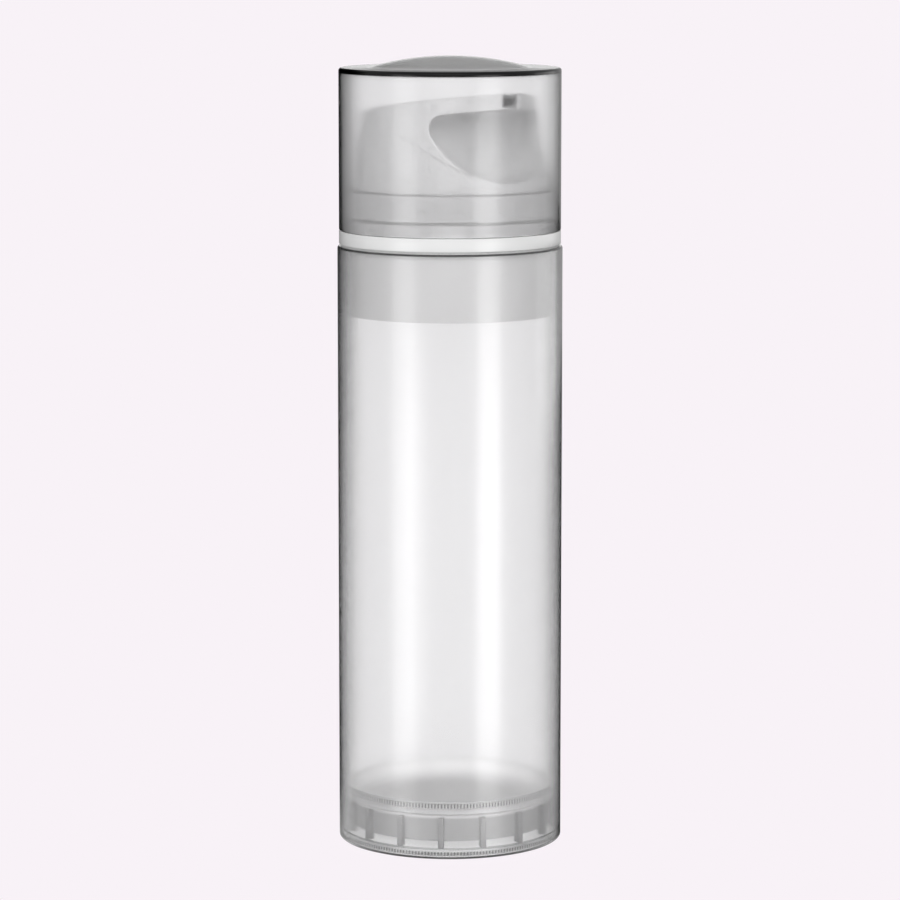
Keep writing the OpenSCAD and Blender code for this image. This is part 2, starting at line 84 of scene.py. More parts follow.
def turn_outline(outline, columns=192):
    """Turns a closed outline of (radius, height) points about the axis."""
    shape = bmesh.new()
    points = [shape.verts.new((radius * MM, 0, height * MM)) for radius, height in outline]
    sides = []
    for start, end in zip(points, points[1:] + points[:1]):
        if start.co.x + end.co.x > 0:
            sides.append(shape.edges.new((start, end)))
    bmesh.ops.spin(shape, geom=points + sides, cent=(0, 0, 0), axis=(0, 0, 1),
                   angle=math.radians(360), steps=columns, use_merge=True)
    bmesh.ops.remove_doubles(shape, verts=shape.verts, dist=1e-7)
    bmesh.ops.recalc_face_normals(shape, faces=shape.faces)
    return shape


def on_ring(vert, radius, height, close=0.002):
    """Whether a vertex lies on the circle of this radius at this height."""
    return (abs(math.hypot(vert.co.x, vert.co.y) - radius * MM) < close * MM
            and abs(vert.co.z - height * MM) < close * MM)


def round_rings(shape, rings, radius, segments=4):
    """Rounds the circular edges that lie at these (radius, height) places."""
    edges = [edge for edge in shape.edges
             if any(all(on_ring(vert, *ring) for vert in edge.verts) for ring in rings)]
    bmesh.ops.bevel(shape, geom=edges, offset=radius * MM, offset_type="OFFSET", segments=segments,
                    profile=0.5, affect="EDGES", clamp_overlap=True, material=-1)


def lay_out(name, shape, plastic):
    """Makes a scene object of a finished shape, smooth but for its sharp edges."""
    mesh = bpy.data.meshes.new(name)
    shape.to_mesh(mesh)
    shape.free()
    mesh.shade_smooth()
    mesh.set_sharp_from_angle(angle=math.radians(sharp_edge))
    mesh.materials.append(plastic)
    piece = bpy.data.objects.new(name, mesh)
    bpy.context.scene.collection.objects.link(piece)
    return piece


def add_node(tree, kind, **values):
    """Adds a node and sets its inputs, named with underscores for spaces."""
    node = tree.nodes.new(kind)
    for name, value in values.items():
        node.inputs[name.replace("_", " ")].default_value = value
    return node


def moulding_group():
    """Surface of a moulded plastic: fine tool grain, and slow clouding where the melt flowed."""
    group = bpy.data.node_groups.new("moulding", "ShaderNodeTree")
    for name in ("Grain Scale", "Cloud Scale"):
        group.interface.new_socket(name, in_out="INPUT", socket_type="NodeSocketFloat")
    for name in ("Grain", "Clouding"):
        group.interface.new_socket(name, in_out="OUTPUT", socket_type="NodeSocketFloat")
    given = group.nodes.new("NodeGroupInput")
    result = group.nodes.new("NodeGroupOutput")
    place = group.nodes.new("ShaderNodeTexCoord")
    grain = add_node(group, "ShaderNodeTexNoise", Detail=2.0, Roughness=0.6)
    clouds = add_node(group, "ShaderNodeTexNoise", Detail=3.0, Roughness=0.45, Distortion=0.6)
    spread = add_node(group, "ShaderNodeMapRange", From_Min=0.35, From_Max=0.65)
    group.links.new(place.outputs["Object"], grain.inputs["Vector"])
    group.links.new(place.outputs["Object"], clouds.inputs["Vector"])
    group.links.new(given.outputs["Grain Scale"], grain.inputs["Scale"])
    group.links.new(given.outputs["Cloud Scale"], clouds.inputs["Scale"])
    group.links.new(clouds.outputs["Fac"], spread.inputs["Value"])
    group.links.new(grain.outputs["Fac"], result.inputs["Grain"])
    group.links.new(spread.outputs["Result"], result.inputs["Clouding"])
    return group


moulding = moulding_group()


def surface_of(tree, grain_scale, cloud_scale):
    """Places the moulding group in a material."""
    surface = tree.nodes.new("ShaderNodeGroup")
    surface.node_tree = moulding
    surface.inputs["Grain Scale"].default_value = grain_scale
    surface.inputs["Cloud Scale"].default_value = cloud_scale
    return surface


def link_range(tree, source, target, low, high):
    """Feeds a 0 to 1 value into a socket as a value from low to high."""
    span = add_node(tree, "ShaderNodeMapRange", To_Min=low, To_Max=high)
    tree.links.new(source, span.inputs["Value"])
    tree.links.new(span.outputs["Result"], target)


def link_bump(tree, height, shader, depth):
    """Feeds a height into the shader's normal, with its full depth in metres."""
    bump = add_node(tree, "ShaderNodeBump", Strength=1.0, Distance=depth)
    tree.links.new(height, bump.inputs["Height"])
    tree.links.new(bump.outputs["Normal"], shader.inputs["Normal"])


def link_mix(tree, factor, target, first, second):
    """Feeds a blend of two colours into a socket."""
    blend = tree.nodes.new("ShaderNodeMix")
    blend.data_type = "RGBA"
    blend.inputs["A"].default_value = (*first, 1)
    blend.inputs["B"].default_value = (*second, 1)
    tree.links.new(factor, blend.inputs["Factor"])
    tree.links.new(blend.outputs["Result"], target)
    return blend


def frosted_plastic(name, face, rim, rim_span, rough, clear, sheen, bend, smoke, shade):
    """Translucent plastic with a frosted skin. Its colour goes from face to rim over rim_span as
    the wall turns away from the eye, so a dark rim is painted shade where the wall is seen edge-on.
    Clear is the share of light that goes through, bend its refractive index, smoke how much it
    absorbs inside, sheen the coat's weight and roughness, and shade the share of light that its
    shadow lets through."""
    plastic = bpy.data.materials.new(name)
    plastic.use_nodes = True
    tree = plastic.node_tree
    shader = tree.nodes["Principled BSDF"]
    output = tree.nodes["Material Output"]
    shader.inputs["IOR"].default_value = bend
    shader.inputs["Transmission Weight"].default_value = clear
    shader.inputs["Coat Weight"].default_value = sheen[0]
    shader.inputs["Coat Roughness"].default_value = sheen[1]
    shader.inputs["Coat IOR"].default_value = moulded_ior
    surface = surface_of(tree, grain_scale=5200, cloud_scale=70)
    link_range(tree, surface.outputs["Clouding"], shader.inputs["Roughness"], rough[0], rough[1])
    link_bump(tree, surface.outputs["Grain"], shader, depth=0.0000015)
    tilt = add_node(tree, "ShaderNodeLayerWeight", Blend=0.5)
    along = add_node(tree, "ShaderNodeMapRange", From_Min=rim_span[0], From_Max=rim_span[1])
    tree.links.new(tilt.outputs["Facing"], along.inputs["Value"])
    link_mix(tree, along.outputs["Result"], shader.inputs["Base Color"], face, rim)
    path = tree.nodes.new("ShaderNodeLightPath")
    through = add_node(tree, "ShaderNodeBsdfTransparent", Color=(shade, shade, shade, 1))
    pick = tree.nodes.new("ShaderNodeMixShader")
    tree.links.new(path.outputs["Is Shadow Ray"], pick.inputs["Fac"])
    tree.links.new(shader.outputs["BSDF"], pick.inputs[1])
    tree.links.new(through.outputs["BSDF"], pick.inputs[2])
    tree.links.new(pick.outputs["Shader"], output.inputs["Surface"])
    haze = add_node(tree, "ShaderNodeVolumeAbsorption", Color=(0.5, 0.5, 0.5, 1), Density=smoke)
    tree.links.new(haze.outputs["Volume"], output.inputs["Volume"])
    return plastic


def paint_shading_ring(plastic, tone, radii=(0, 1), heights=(0, 0.1)):
    """Paints a grey tone of painted light and shade onto the part of a turned piece beyond this
    radius and this height. It fades in from the first value of each pair to the second, and the
    other way where the pair falls."""
    tree = plastic.node_tree
    shader = tree.nodes["Principled BSDF"]
    face = shader.inputs["Base Color"].links[0].from_socket
    place = tree.nodes.new("ShaderNodeTexCoord")
    parts = tree.nodes.new("ShaderNodeSeparateXYZ")
    level = add_node(tree, "ShaderNodeCombineXYZ")
    reach = tree.nodes.new("ShaderNodeVectorMath")
    reach.operation = "LENGTH"
    outer = add_node(tree, "ShaderNodeMapRange", From_Min=radii[0] * MM, From_Max=radii[1] * MM)
    upper = add_node(tree, "ShaderNodeMapRange", From_Min=heights[0] * MM, From_Max=heights[1] * MM)
    corner = tree.nodes.new("ShaderNodeMath")
    corner.operation = "MULTIPLY"
    tree.links.new(place.outputs["Object"], parts.inputs["Vector"])
    tree.links.new(parts.outputs["X"], level.inputs["X"])
    tree.links.new(parts.outputs["Y"], level.inputs["Y"])
    tree.links.new(level.outputs["Vector"], reach.inputs[0])
    tree.links.new(reach.outputs["Value"], outer.inputs["Value"])
    tree.links.new(parts.outputs["Z"], upper.inputs["Value"])
    tree.links.new(outer.outputs["Result"], corner.inputs[0])
    tree.links.new(upper.outputs["Result"], corner.inputs[1])
    grey = (tone, tone, tone)
    tinted = link_mix(tree, corner.outputs[0], shader.inputs["Base Color"], grey, grey)
    tree.links.new(face, tinted.inputs["A"])


# Painted shade: the dark rim colour darkens the wall where it is seen edge-on, a black ring paints
# the dark line at the foot, and a near-black ring paints the shadow line under the collar's flange.
tube_plastic = frosted_plastic("frosted_tube", face=(0.97, 0.965, 0.972), rim=(0.07, 0.07, 0.07),
                               rim_span=(0.58, 0.88), rough=(0.24, 0.27), clear=0.95,
                               sheen=(0.8, 0.2), bend=1.18, smoke=26, shade=0.8)
paint_shading_ring(tube_plastic, 0, heights=foot_shade_line)
paint_shading_ring(tube_plastic, 0.04, heights=rim_shadow_line)
tube_shape = turn_outline([(foot_lip_r, 0), (tube_r, 0), (tube_r, tube_h), (bore_r, tube_h),
                           (bore_r, groove_z[2]), (groove_r, groove_z[1]), (groove_r, groove_z[0]),
                           (foot_lip_r, groove_z[0])])
round_rings(tube_shape, [(tube_r, 0), (tube_r, tube_h)], tube_round)
round_rings(tube_shape, [(bore_r, tube_h)], bore_round, 2)
tube = lay_out("body_tube", tube_shape, tube_plastic)
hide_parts("bottle_body")
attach(tube, "bottle")


# Base disc. Milky polypropylene, moulded and snapped into the foot of the tube. Its rim carries
# fine teeth, its underside is recessed, and the hole in its middle lets air in behind the
# follower piston.
disc_r = 16.42
disc_z = [0.35, 1.4]
disc_recess = 0.4
disc_land_r = 13.22
disc_vent_r = 1.2
disc_vent_round = 0.1
disc_chamfer = 0.2
disc_teeth = 204
disc_tooth = 0.14
disc_tooth_z = [0.46, 0.88]
disc_tooth_end = 0.08


def moulded_plastic(name, colour, flow, rough, grain_depth, cloud_scale=120):
    """Opaque moulded plastic with a fine grain, whose tone and gloss drift a little across it."""
    plastic = bpy.data.materials.new(name)
    plastic.use_nodes = True
    tree = plastic.node_tree
    shader = tree.nodes["Principled BSDF"]
    surface = surface_of(tree, grain_scale=4200, cloud_scale=cloud_scale)
    link_mix(tree, surface.outputs["Clouding"], shader.inputs["Base Color"], colour, flow)
    link_range(tree, surface.outputs["Clouding"], shader.inputs["Roughness"], rough[0], rough[1])
    link_bump(tree, surface.outputs["Grain"], shader, grain_depth)
    shader.inputs["IOR"].default_value = moulded_ior
    return plastic


def cut_teeth(shape, radius, heights, depth, columns):
    """Draws every second column of a turned band inwards, so that its edge is finely toothed."""
    step = math.radians(360) / columns
    inward = 1 - depth / radius
    for vert in shape.verts:
        column = round(math.atan2(vert.co.y, vert.co.x) / step) % 2
        if column and any(on_ring(vert, radius, height) for height in heights):
            vert.co.x *= inward
            vert.co.y *= inward


# Painted shade: the gaps between the teeth are painted dark, and the flat inside them is painted
# back as pale as the rest.
disc_plastic = frosted_plastic("base_disc_plastic", face=(0.97, 0.97, 0.97),
                               rim=(0.95, 0.95, 0.95), rim_span=(0.5, 0.9), rough=(0.3, 0.34),
                               clear=0.95, sheen=(0.1, 0.3), bend=1.08, smoke=10, shade=0.9)
paint_shading_ring(disc_plastic, 0.12, radii=(disc_r - 0.02, disc_r - 0.1))
paint_shading_ring(disc_plastic, 0.97, radii=(disc_r - disc_tooth, disc_r - 0.2))
disc_shape = turn_outline([(disc_vent_r, disc_z[0] + disc_recess),
                           (disc_land_r - disc_recess, disc_z[0] + disc_recess),
                           (disc_land_r, disc_z[0]), (disc_r, disc_z[0]),
                           (disc_r, disc_tooth_z[0] - disc_tooth_end), (disc_r, disc_tooth_z[0]),
                           (disc_r, disc_tooth_z[1]), (disc_r, disc_tooth_z[1] + disc_tooth_end),
                           (disc_r, disc_z[1] - disc_chamfer),
                           (disc_r - disc_chamfer, disc_z[1]), (disc_vent_r, disc_z[1])],
                          columns=2 * disc_teeth)
cut_teeth(disc_shape, disc_r, disc_tooth_z, disc_tooth, 2 * disc_teeth)
round_rings(disc_shape, [(disc_vent_r, disc_z[0] + disc_recess), (disc_vent_r, disc_z[1])],
            disc_vent_round, 2)
disc = lay_out("base_disc_toothed", disc_shape, disc_plastic)
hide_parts("base_disc")
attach(disc, "bottle")


# Follower piston. Soft moulded polyethylene: a domed web in a rim whose toothed lip wipes the
# bore, and a skirt below it with fifteen guide ribs. It stands on the base disc when the bottle
# is full.
piston_z = [1.43, 8.83]
piston_skirt_z = 2.43
piston_skirt_r = 15.1
piston_web_z = 6.33
piston_web_t = 0.9
piston_web_r = 14.2
piston_web_edge = 0.4
piston_dome = 1.1
piston_dome_r = 13.6
piston_band_r = 15.96
piston_band_z = [piston_web_z + 0.5, piston_z[1] - 1.15]
piston_flare = [piston_band_r - 0.45, piston_web_z + 0.3]
piston_lip_r = 16.26
piston_lip_z = piston_z[1] - 1.08
piston_lip_bevel = [0.1, 0.3]
piston_teeth = 204
piston_tooth = 0.16
piston_tooth_z = [piston_z[1] - 1.0, piston_z[1] - 0.4]
rib_count = 15
rib_turn = 10.3
rib_t = 0.9
rib_top = 6.13
rib_sink = 0.2
rib_round = 0.12


def low_dome(radius, height, rise, steps=14):
    """Points of a low dome, from its edge to its top on the axis."""
    ball = (radius * radius + rise * rise) / (2 * rise)
    places = [radius * (1 - step / steps) for step in range(steps + 1)]
    return [(place, height + rise - ball + math.sqrt(ball * ball - place * place))
            for place in places]


def keep_result(piece):
    """Makes the outcome of a piece's modifiers its own mesh."""
    bpy.context.view_layer.update()
    finished = piece.evaluated_get(bpy.context.evaluated_depsgraph_get())
    result = bpy.data.meshes.new_from_object(finished)
    piece.modifiers.clear()
    old = piece.data
    piece.data = result
    bpy.data.meshes.remove(old)


def join_solid(base, tool, operation="UNION", sharp=sharp_edge):
    """Joins a second solid to a piece, or cuts it out, and smooths all but the sharp edges."""
    joint = base.modifiers.new("join", "BOOLEAN")
    joint.operation = operation
    joint.solver = "EXACT"
    joint.object = tool
    keep_result(base)
    bpy.data.objects.remove(tool)
    base.data.shade_smooth()
    base.data.set_sharp_from_angle(angle=math.radians(sharp))


# From first to last the rings paint the light and shade that show through the frosted wall:
# painted light on the foot of the band, painted shade on the skirt and on the ribs, painted shade
# in the gaps between the teeth, a painted shade line on the lip's top, painted light on the cone
# inside the lip, and the web's edge painted lighter and its middle painted darker.
piston_plastic = moulded_plastic("piston_plastic", (0.56, 0.56, 0.56), (0.53, 0.53, 0.53),
                                 (0.36, 0.44), 0.000005)
paint_shading_ring(piston_plastic, 0.95, heights=(piston_web_z + 0.35, piston_web_z + 0.25))
paint_shading_ring(piston_plastic, 0.35, heights=(piston_web_z + 0.05, piston_web_z - 0.5))
paint_shading_ring(piston_plastic, 0.25, (piston_skirt_r + 0.05, piston_skirt_r + 0.12),
          (rib_top + 0.05, rib_top))
paint_shading_ring(piston_plastic, 0.14, (piston_lip_r - 0.06, piston_lip_r - 0.12),
          (piston_z[1] - 1.12, piston_z[1] - 1.08))
paint_shading_ring(piston_plastic, 0.4, heights=(piston_z[1] - 0.36, piston_z[1] - 0.3))
paint_shading_ring(piston_plastic, 0.92, (piston_band_r - 0.02, piston_band_r - 0.1),
          (piston_web_z + 0.5, piston_web_z + 0.6))
paint_shading_ring(piston_plastic, 0.7, (piston_web_r + 0.4, piston_web_r - 0.1),
          (piston_web_z - 0.3, piston_web_z - 0.1))
paint_shading_ring(piston_plastic, 0.39, radii=(piston_web_r - 0.5, piston_web_r - 6))
piston_outline = [(piston_web_r, piston_skirt_z), (piston_skirt_r, piston_skirt_z),
                  (piston_skirt_r, piston_web_z), (piston_flare[0], piston_flare[1]),
                  (piston_band_r, piston_band_z[0]), (piston_band_r, piston_band_z[1]),
                  (piston_lip_r, piston_lip_z), (piston_lip_r, piston_tooth_z[0]),
                  (piston_lip_r, piston_tooth_z[1]),
                  (piston_lip_r, piston_z[1] - piston_lip_bevel[1]),
                  (piston_lip_r - piston_lip_bevel[0], piston_z[1]),
                  (piston_lip_r - piston_lip_bevel[1], piston_z[1]),
                  (piston_web_r, piston_web_z + piston_web_edge)]
piston_outline += low_dome(piston_dome_r, piston_web_z, piston_dome)
piston_outline += reversed(low_dome(piston_dome_r, piston_web_z - piston_web_t, piston_dome))
piston_outline += [(piston_web_r, piston_web_z - piston_web_t - piston_web_edge)]
piston_shape = turn_outline(piston_outline, columns=2 * piston_teeth)
cut_teeth(piston_shape, piston_lip_r, piston_tooth_z, piston_tooth, 2 * piston_teeth)
piston = lay_out("follower_piston_ribbed", piston_shape, piston_plastic)
rib_depth = piston_band_r - piston_skirt_r + rib_sink
rib_h = rib_top - piston_z[0]
rib_shape = bmesh.new()
for rib in range(rib_count):
    place = (Matrix.Rotation(math.radians(rib_turn + rib * 360 / rib_count), 4, "Z")
             @ Matrix.Translation(((piston_skirt_r - rib_sink + rib_depth / 2) * MM, 0,
                                   (piston_z[0] + rib_h / 2) * MM))
             @ Matrix.Diagonal((rib_depth * MM, rib_t * MM, rib_h * MM, 1)))
    bmesh.ops.create_cube(rib_shape, size=1, matrix=place)
bmesh.ops.bevel(rib_shape, geom=rib_shape.edges[:], offset=rib_round * MM, offset_type="OFFSET",
                segments=2, profile=0.5, affect="EDGES", clamp_overlap=True, material=-1)
join_solid(piston, lay_out("ribs", rib_shape, piston_plastic))
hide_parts("follower_piston")
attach(piston, "follower")


# Pump housing. Moulded polypropylene, a plug in the top of the tube that carries the dosing
# chamber; its skirt is the grey band seen through the wall. It keeps its CAD form.
def dress(node, plastic):
    """Gives a CAD piece its finish."""
    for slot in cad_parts[node].material_slots:
        slot.material = plastic


# Its grey is painted shade: the white plastic is set to the tone it shows behind the frosted tube.
housing_plastic = moulded_plastic("housing_plastic", (0.56, 0.56, 0.56), (0.54, 0.54, 0.54),
                                  (0.3, 0.36), 0.000003)
dress("pump_housing", housing_plastic)


# Inlet ball. A ground stainless ball, loose in the cage in the housing's floor. It rests on its
# seat there until the pump draws, and lifts to let the product in.
def worked_steel(name, colour, stretch, rough, depth):
    """Stainless steel with fine marks from drawing or grinding."""
    steel = bpy.data.materials.new(name)
    steel.use_nodes = True
    tree = steel.node_tree
    shader = tree.nodes["Principled BSDF"]
    shader.inputs["Metallic"].default_value = 1
    place = tree.nodes.new("ShaderNodeTexCoord")
    turn = add_node(tree, "ShaderNodeMapping", Scale=stretch)
    marks = add_node(tree, "ShaderNodeTexNoise", Scale=1.0, Detail=3.0, Roughness=0.7)
    tree.links.new(place.outputs["Object"], turn.inputs["Vector"])
    tree.links.new(turn.outputs["Vector"], marks.inputs["Vector"])
    link_range(tree, marks.outputs["Fac"], shader.inputs["Roughness"], rough[0], rough[1])
    worn = [0.8 * part for part in colour]
    link_mix(tree, marks.outputs["Fac"], shader.inputs["Base Color"], colour, worn)
    link_bump(tree, marks.outputs["Fac"], shader, depth)
    return steel


ball_steel = worked_steel("ball_steel", (0.66, 0.66, 0.67), (4000, 4000, 9000), (0.12, 0.22),
                          0.000001)
dress("inlet_ball", ball_steel)


# Return spring. Drawn stainless wire, wound in one piece with a closer turn at each end. It stands
# on the housing's floor and in use shortens with the stem.
spring_r = 4
spring_wire_r = 0.3
spring_foot = 84.23
spring_h = 8.51
spring_end_pitch = 1.02
spring_open_turns = 3.5
spring_sides = 14
spring_steps = 40
spring_steel = worked_steel("spring_steel", (0.6, 0.6, 0.61), (900, 900, 14000), (0.22, 0.36),
                            0.0000015)
spring_shape = bmesh.new()
spring_start = (Matrix.Translation((spring_r * MM, 0, (spring_foot + spring_wire_r) * MM))
                @ Matrix.Rotation(math.radians(90), 4, "X"))
bmesh.ops.create_circle(spring_shape, cap_ends=True, segments=spring_sides,
                        radius=spring_wire_r * MM, matrix=spring_start)
wire_end = spring_shape.faces[:] + spring_shape.edges[:] + spring_shape.verts[:]
spring_rise = spring_h - 2 * spring_wire_r - 2 * spring_end_pitch
spring_coils = [(1, spring_end_pitch), (spring_open_turns, spring_rise / spring_open_turns),
                (1, spring_end_pitch)]
for turns, pitch in spring_coils:
    steps = round(turns * spring_steps)
    swept = bmesh.ops.spin(spring_shape, geom=wire_end, cent=(0, 0, 0), axis=(0, 0, 1),
                           dvec=(0, 0, turns * pitch / steps * MM),
                           angle=math.radians(360 * turns), steps=steps)
    wire_end = swept["geom_last"]
bmesh.ops.recalc_face_normals(spring_shape, faces=spring_shape.faces)
spring = lay_out("spring_wire", spring_shape, spring_steel)
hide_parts("return_spring")
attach(spring, "bottle")
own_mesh(spring)


# Poppet, dosing piston and stem. Moulded plastic pieces that slide in the chamber: the poppet seats
# the spring and is pressed into the stem, and the softer dosing piston wipes the chamber between
# them.
works_plastic = moulded_plastic("works_plastic", (0.8, 0.795, 0.8), (0.76, 0.755, 0.76),
                                (0.32, 0.4), 0.000003, 300)
dress("poppet", works_plastic)
dress("stem", works_plastic)
dose_plastic = moulded_plastic("dose_piston_plastic", (0.72, 0.72, 0.73), (0.68, 0.68, 0.69),
                               (0.4, 0.5), 0.000004, 300)
dress("pump_piston", dose_plastic)


# Retaining ring. Moulded polypropylene, snapped on the top of the chamber. It stops the stem's
# shoulder and guides the stem where it comes out of the pump.
ring_plastic = moulded_plastic("ring_plastic", (0.82, 0.815, 0.82), (0.78, 0.775, 0.78),
                               (0.34, 0.42), 0.000003, 200)
dress("retaining_ring", ring_plastic)


# Neck gasket. Closed cell foam, cut as a flat ring and pinched between the collar and the top of
# the tube, where it seals the product chamber.
def cell_foam(name, skin, pit, cells):
    """Fine closed cell foam, with painted shade that darkens the pits of its cells."""
    foam = bpy.data.materials.new(name)
    foam.use_nodes = True
    tree = foam.node_tree
    shader = tree.nodes["Principled BSDF"]
    place = tree.nodes.new("ShaderNodeTexCoord")
    bubbles = add_node(tree, "ShaderNodeTexVoronoi", Scale=cells)
    tree.links.new(place.outputs["Object"], bubbles.inputs["Vector"])
    link_mix(tree, bubbles.outputs["Distance"], shader.inputs["Base Color"], pit, skin)
    link_range(tree, bubbles.outputs["Distance"], shader.inputs["Roughness"], 0.95, 0.8)
    link_bump(tree, bubbles.outputs["Distance"], shader, depth=0.00003)
    return foam


gasket_foam = cell_foam("gasket_foam", (0.74, 0.74, 0.74), (0.6, 0.6, 0.6), 3600)
dress("neck_gasket", gasket_foam)


# Collar. Smooth white polypropylene: the bare flange between tube and cap, the wall that guides
# the head, the deck inside it, and a skirt with a snap bead that plugs into the housing.
flange_z = [93.9, 96.0]
flange_r = 17.25
flange_round = 0.15
guide_r = [15.4, 16.0]
guide_z = 102.5
guide_step_z = 101.5
guide_step = 0.06
guide_round = 0.18
deck_z = [94.9, 95.9]
hub_r = [7.03, 7.88]
hub_z = 92.9
plug_r = [14.03, 14.98]
plug_z = 88.9
plug_lead = [0.3, 0.5]
bead_z = 90.4
bead = 0.22
bead_round = 0.1

# Painted shade: under the frosted cap the guide wall is painted darker than the bare flange, and
# its top edge is painted as a dark line.
collar_plastic = moulded_plastic("collar_plastic", (0.81, 0.81, 0.81), (0.79, 0.79, 0.79),
                                 (0.22, 0.28), 0.000002, 90)
paint_shading_ring(collar_plastic, 0.46, heights=(flange_z[1] + 0.1, flange_z[1] + 0.3))
paint_shading_ring(collar_plastic, 0.28, heights=(guide_z - 0.3, guide_z - 0.15))
collar_shape = turn_outline([(hub_r[0], hub_z), (hub_r[1], hub_z), (hub_r[1], deck_z[0]),
                             (plug_r[0], deck_z[0]), (plug_r[0], plug_z),
                             (plug_r[1] - plug_lead[0], plug_z), (plug_r[1], plug_z + plug_lead[1]),
                             (plug_r[1], bead_z - bead), (plug_r[1] + bead, bead_z),
                             (plug_r[1], bead_z + bead), (plug_r[1], flange_z[0]),
                             (flange_r, flange_z[0]), (flange_r, flange_z[1]),
                             (guide_r[1], flange_z[1]), (guide_r[1], guide_step_z - guide_step),
                             (guide_r[1] - guide_step, guide_step_z),
                             (guide_r[1] - guide_step, guide_z), (guide_r[0], guide_z),
                             (guide_r[0], deck_z[1]), (hub_r[0], deck_z[1])])
round_rings(collar_shape, [(flange_r, flange_z[0]), (flange_r, flange_z[1])], flange_round, 3)
round_rings(collar_shape, [(guide_r[1] - guide_step, guide_z), (guide_r[0], guide_z)],
            guide_round, 3)
round_rings(collar_shape, [(plug_r[1] + bead, bead_z)], bead_round, 2)
collar = lay_out("collar_turned", collar_shape, collar_plastic)
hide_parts("collar")
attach(collar, "bottle")


# Head. Moulded satin polypropylene, pressed on the stem. Its form is the CAD solid's, taken as a
# copy with every edge rounded as a mould leaves it, and a faint crease is cut into its side that
# runs down to the scoop.
head_cell = 0.17
head_smoothing = 9
head_thinning = 0.3
head_foot = [15.3, 102.8]
head_taper = 0.153
head_sharp = 50
crease_path = [(-72, 111.2), (-63.3, 110.2), (-55.2, 109.2), (-47.6, 108.1), (-40.4, 107),
               (-32.7, 106), (-27, 105.4)]
crease_half = [0.15, 0.17]
crease_sides = 8


def soften_copy(node, name, plastic):
    """Copies a CAD solid and rounds its edges by a fine remesh that is then smoothed."""
    shape = bmesh.new()
    shape.from_mesh(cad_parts[node].data)
    bmesh.ops.remove_doubles(shape, verts=shape.verts, dist=1e-6)
    copy = lay_out(name, shape, plastic)
    cells = copy.modifiers.new("cells", "REMESH")
    cells.mode = "VOXEL"
    cells.voxel_size = head_cell * MM
    soft = copy.modifiers.new("soft", "SMOOTH")
    soft.factor = 0.5
    soft.iterations = head_smoothing
    fewer = copy.modifiers.new("fewer", "DECIMATE")
    fewer.ratio = head_thinning
    keep_result(copy)
    copy.data.shade_smooth()
    return copy


# Its grey is painted shade: white plastic set to the tone it shows under the frosted cap.
head_plastic = moulded_plastic("head_plastic", (0.54, 0.54, 0.54), (0.52, 0.52, 0.52),
                               (0.34, 0.42), 0.000004, 90)
head = soften_copy("actuator", "press_head", head_plastic)
crease_shape = bmesh.new()
crease_rings = []
for turn, height in crease_path:
    reach = head_foot[0] - head_taper * (height - head_foot[1])
    place = (Matrix.Rotation(math.radians(turn - 90), 4, "Z")
             @ Matrix.Translation((reach * MM, 0, height * MM))
             @ Matrix.Rotation(math.radians(90), 4, "X")
             @ Matrix.Diagonal((crease_half[0] * MM, crease_half[1] * MM, 1, 1)))
    bmesh.ops.create_circle(crease_shape, segments=crease_sides, radius=1, matrix=place)
    crease_rings.append(crease_shape.edges[-crease_sides:])
for near, far in zip(crease_rings, crease_rings[1:]):
    bmesh.ops.bridge_loops(crease_shape, edges=near + far)
bmesh.ops.holes_fill(crease_shape, edges=crease_shape.edges[:], sides=crease_sides)
bmesh.ops.recalc_face_normals(crease_shape, faces=crease_shape.faces)
join_solid(head, lay_out("crease", crease_shape, head_plastic), "DIFFERENCE", head_sharp)
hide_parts("actuator")
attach(head, "head")


# Nozzle insert. A thin moulded polypropylene liner, pushed into the spout from the front; its bore
# is the small dark outlet. Its dark grey is painted shade that widens the dark of the outlet.
nozzle_plastic = moulded_plastic("nozzle_plastic", (0.28, 0.28, 0.28), (0.25, 0.25, 0.25),
                                 (0.35, 0.45), 0.000002, 400)
dress("nozzle_insert", nozzle_plastic)


# Overcap. Frosted polypropylene like the tube but a shade darker: a plain cup with a low dome,
# moulded in one piece, with a small grip bead inside the rim that holds it on the guide wall.
cap_z = [96.05, 121.15]
cap_r = 17.25
cap_bore_r = 16.15
cap_top_t = 0.8
cap_round = 0.5
cap_inner_round = 0.2
cap_rim_round = 0.2
cap_dome_r = 12.6
cap_dome_rise = 1.8
grip_z = 98.15
grip = 0.08
grip_half = [0.1, 0.4]

# Painted shade: the rounded top edge is painted as a black line, the dome is painted darker than
# the wall, the grip bead shows as a painted faint dark line above the flange, and the dark rim
# colour darkens the wall where it is seen edge-on.
cap_plastic = frosted_plastic("frosted_cap", face=(0.96, 0.955, 0.962), rim=(0.02, 0.02, 0.02),
                              rim_span=(0.5, 0.8), rough=(0.28, 0.295), clear=0.95,
                              sheen=(0.6, 0.2), bend=1.18, smoke=60, shade=0.76)
paint_shading_ring(cap_plastic, 0, (cap_r - 0.5, cap_r - 0.4), (cap_z[1] - 0.85, cap_z[1] - 0.75))
paint_shading_ring(cap_plastic, 0.45, (cap_dome_r + 0.4, cap_dome_r), (cap_z[1] - 0.3, cap_z[1] - 0.2))
paint_shading_ring(cap_plastic, 0.55, (cap_bore_r - 0.02, cap_bore_r - 0.06), (grip_z + 1, grip_z + 0.9))
cap_outline = [(cap_bore_r, cap_z[0]), (cap_r, cap_z[0]), (cap_r, cap_z[1])]
cap_outline += low_dome(cap_dome_r, cap_z[1], cap_dome_rise)
cap_outline += reversed(low_dome(cap_dome_r, cap_z[1] - cap_top_t, cap_dome_rise))
cap_outline += [(cap_bore_r, cap_z[1] - cap_top_t), (cap_bore_r, grip_z + grip_half[1]),
                (cap_bore_r - grip, grip_z + grip_half[0]),
                (cap_bore_r - grip, grip_z - grip_half[0]), (cap_bore_r, grip_z - grip_half[1])]
